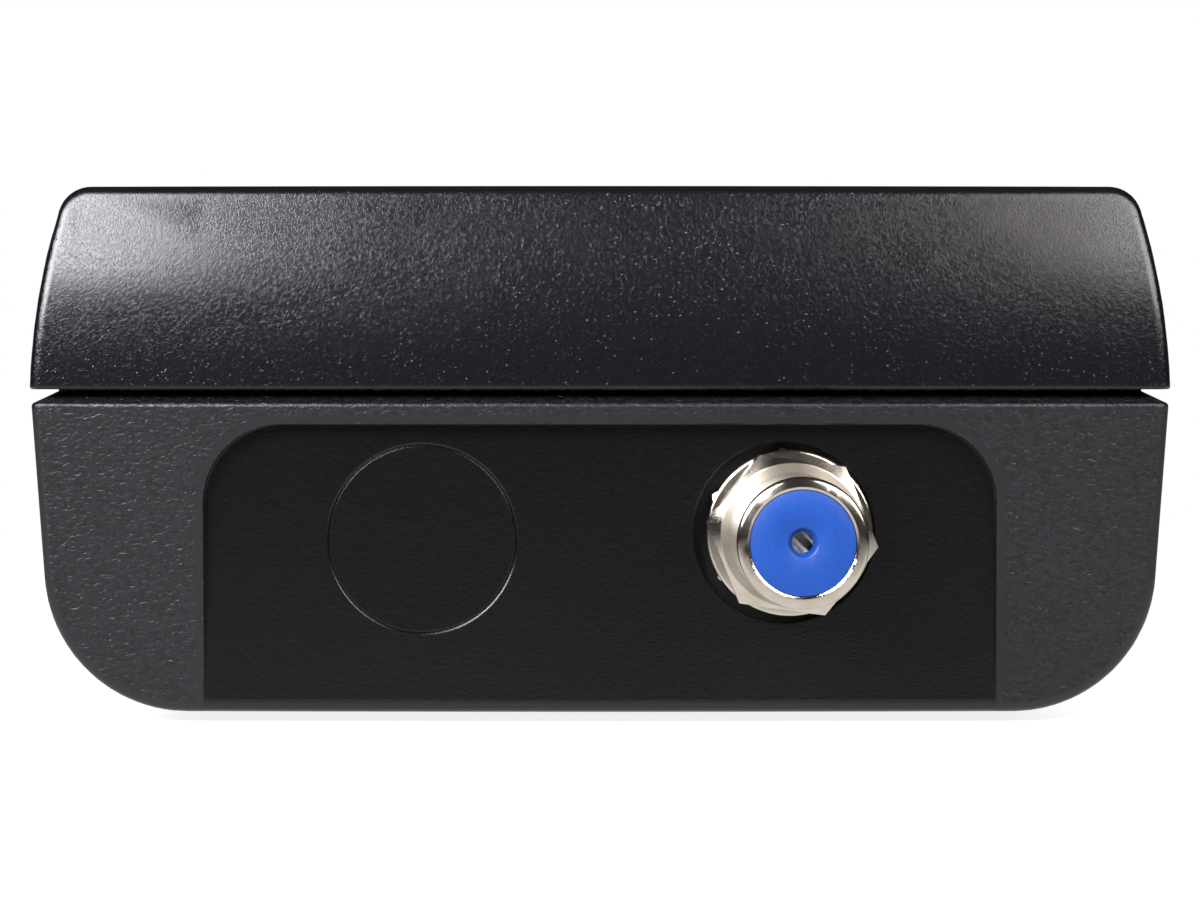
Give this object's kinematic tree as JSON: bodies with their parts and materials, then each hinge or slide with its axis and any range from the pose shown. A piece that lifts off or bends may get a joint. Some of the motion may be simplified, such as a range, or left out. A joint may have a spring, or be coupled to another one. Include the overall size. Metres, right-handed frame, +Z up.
{
  "type": "satellite signal meter",
  "caption": "Handheld satellite signal meter in a black two-part case, with an F connector at one end, a display and sprung keys on its front.",
  "frame": {"origin": "on the surface under the rubber feet, below the middle of the meter with its connector", "axes": "+Z up out of the front face, with the meter on its back; -Y out of the connector end; +X to the right seen from that end"},
  "size_m": [0.0864, 0.1836, 0.0422],
  "materials": {
    "gloss_black_abs": "moulded, fine spark grain, glossy",
    "grained_black_abs": "moulded, fine leather grain, satin",
    "seal_rubber": "extruded cord, matte",
    "overlay_film": "screen printed polycarbonate, fine matte",
    "window_acrylic": "clear, polished, hard coated",
    "foam_rubber": "closed cell foam, matte",
    "display_panel": "glass over dark panel, glossy",
    "frame_nylon": "moulded, satin",
    "circuit_board": "solder mask over glass fibre, semi gloss",
    "grey_silicone": "moulded, matte",
    "spring_steel": "pressed, bright",
    "connector_nylon": "moulded, matte",
    "amber_ribbon": "polyimide film, glossy",
    "screw_steel": "zinc plated, satin",
    "chip_epoxy": "moulded, fine matte",
    "aluminium_can": "drawn, satin",
    "ferrite": "sintered, matte",
    "clear_guide": "clear, moulded",
    "led_body": "moulded, glossy",
    "speaker_steel": "pressed, satin",
    "cell_wrap": "heat shrunk film, glossy",
    "nickel_strip": "rolled, satin",
    "nickel_plated_brass": "turned and nickel plated, bright",
    "blue_dielectric": "moulded, satin",
    "plated_contact": "formed and plated, bright",
    "tinplate": "folded, satin",
    "blackened_steel": "folded, blackened",
    "key_abs": "moulded, fine matte",
    "foot_rubber": "moulded, matte",
    "black_nylon": "moulded, satin"
  },
  "bodies": {
    "meter": {"front_cover": "gloss_black_abs", "rear_cover": "grained_black_abs", "battery_door": "grained_black_abs", "case_seal": "seal_rubber", "front_overlay": "overlay_film", "display_window": "window_acrylic", "display_gasket": "foam_rubber", "battery_pad": "foam_rubber", "speaker_gasket": "foam_rubber", "display_module": "display_panel", "display_frame": "frame_nylon", "display_ribbon": "amber_ribbon", "board_ribbon": "amber_ribbon", "ribbon_plugs": "connector_nylon", "keypad_link": "connector_nylon", "keypad_board": "circuit_board", "main_board": "circuit_board", "socket_board": "circuit_board", "keypad_mat": "grey_silicone", "dome_contacts": "spring_steel", "short_screws": "screw_steel", "board_screws": "screw_steel", "case_screws": "screw_steel", "door_screws": "screw_steel", "main_chip": "chip_epoxy", "memory_chips": "chip_epoxy", "capacitors": "aluminium_can", "inductors": "ferrite", "light_pipes": "clear_guide", "status_leds": "led_body", "speaker": "speaker_steel", "battery_cells": "cell_wrap", "battery_tabs": "nickel_strip", "rubber_feet": "foot_rubber", "f_barrel": "nickel_plated_brass", "jam_nut": "nickel_plated_brass", "flat_washer": "nickel_plated_brass", "lock_washer": "nickel_plated_brass", "f_insulator_front": "blue_dielectric", "f_insulator_rear": "blue_dielectric", "f_contact": "plated_contact", "tuner_can": "blackened_steel", "tuner_lid": "blackened_steel", "tuner_pins": "black_nylon", "dc_jack": "black_nylon", "av_jack": "black_nylon", "usb_socket": "tinplate"},
    "soft_key_1": {"soft_key_1": "key_abs"},
    "soft_key_2": {"soft_key_2": "key_abs"},
    "soft_key_3": {"soft_key_3": "key_abs"},
    "soft_key_4": {"soft_key_4": "key_abs"},
    "ok_key": {"ok_key": "key_abs"},
    "left_key": {"left_key": "key_abs"},
    "down_key": {"down_key": "key_abs"},
    "right_key": {"right_key": "key_abs"},
    "up_key": {"up_key": "key_abs"},
    "menu_key": {"menu_key": "key_abs"},
    "exit_key": {"exit_key": "key_abs"},
    "find_key": {"find_key": "key_abs"},
    "power_key": {"power_key": "key_abs"}
  },
  "joints": [
    {"name": "soft_key_1_press", "type": "slide", "parent": "meter", "child": "soft_key_1", "axis": [0, 0, -1], "range_m": [0, 0.0008], "stiffness_N_per_m": 800, "springref_m": -0.0005},
    {"name": "soft_key_2_press", "type": "slide", "parent": "meter", "child": "soft_key_2", "axis": [0, 0, -1], "range_m": [0, 0.0008], "stiffness_N_per_m": 800, "springref_m": -0.0005},
    {"name": "soft_key_3_press", "type": "slide", "parent": "meter", "child": "soft_key_3", "axis": [0, 0, -1], "range_m": [0, 0.0008], "stiffness_N_per_m": 800, "springref_m": -0.0005},
    {"name": "soft_key_4_press", "type": "slide", "parent": "meter", "child": "soft_key_4", "axis": [0, 0, -1], "range_m": [0, 0.0008], "stiffness_N_per_m": 800, "springref_m": -0.0005},
    {"name": "ok_key_press", "type": "slide", "parent": "meter", "child": "ok_key", "axis": [0, 0, -1], "range_m": [0, 0.0008], "stiffness_N_per_m": 800, "springref_m": -0.0005},
    {"name": "left_key_press", "type": "slide", "parent": "meter", "child": "left_key", "axis": [0, 0, -1], "range_m": [0, 0.0008], "stiffness_N_per_m": 800, "springref_m": -0.0005},
    {"name": "down_key_press", "type": "slide", "parent": "meter", "child": "down_key", "axis": [0, 0, -1], "range_m": [0, 0.0008], "stiffness_N_per_m": 800, "springref_m": -0.0005},
    {"name": "right_key_press", "type": "slide", "parent": "meter", "child": "right_key", "axis": [0, 0, -1], "range_m": [0, 0.0008], "stiffness_N_per_m": 800, "springref_m": -0.0005},
    {"name": "up_key_press", "type": "slide", "parent": "meter", "child": "up_key", "axis": [0, 0, -1], "range_m": [0, 0.0008], "stiffness_N_per_m": 800, "springref_m": -0.0005},
    {"name": "menu_key_press", "type": "slide", "parent": "meter", "child": "menu_key", "axis": [0, 0, -1], "range_m": [0, 0.0008], "stiffness_N_per_m": 800, "springref_m": -0.0005},
    {"name": "exit_key_press", "type": "slide", "parent": "meter", "child": "exit_key", "axis": [0, 0, -1], "range_m": [0, 0.0008], "stiffness_N_per_m": 800, "springref_m": -0.0005},
    {"name": "find_key_press", "type": "slide", "parent": "meter", "child": "find_key", "axis": [0, 0, -1], "range_m": [0, 0.0008], "stiffness_N_per_m": 800, "springref_m": -0.0005},
    {"name": "power_key_press", "type": "slide", "parent": "meter", "child": "power_key", "axis": [0, 0, -1], "range_m": [0, 0.0008], "stiffness_N_per_m": 800, "springref_m": -0.0005}
  ]
}
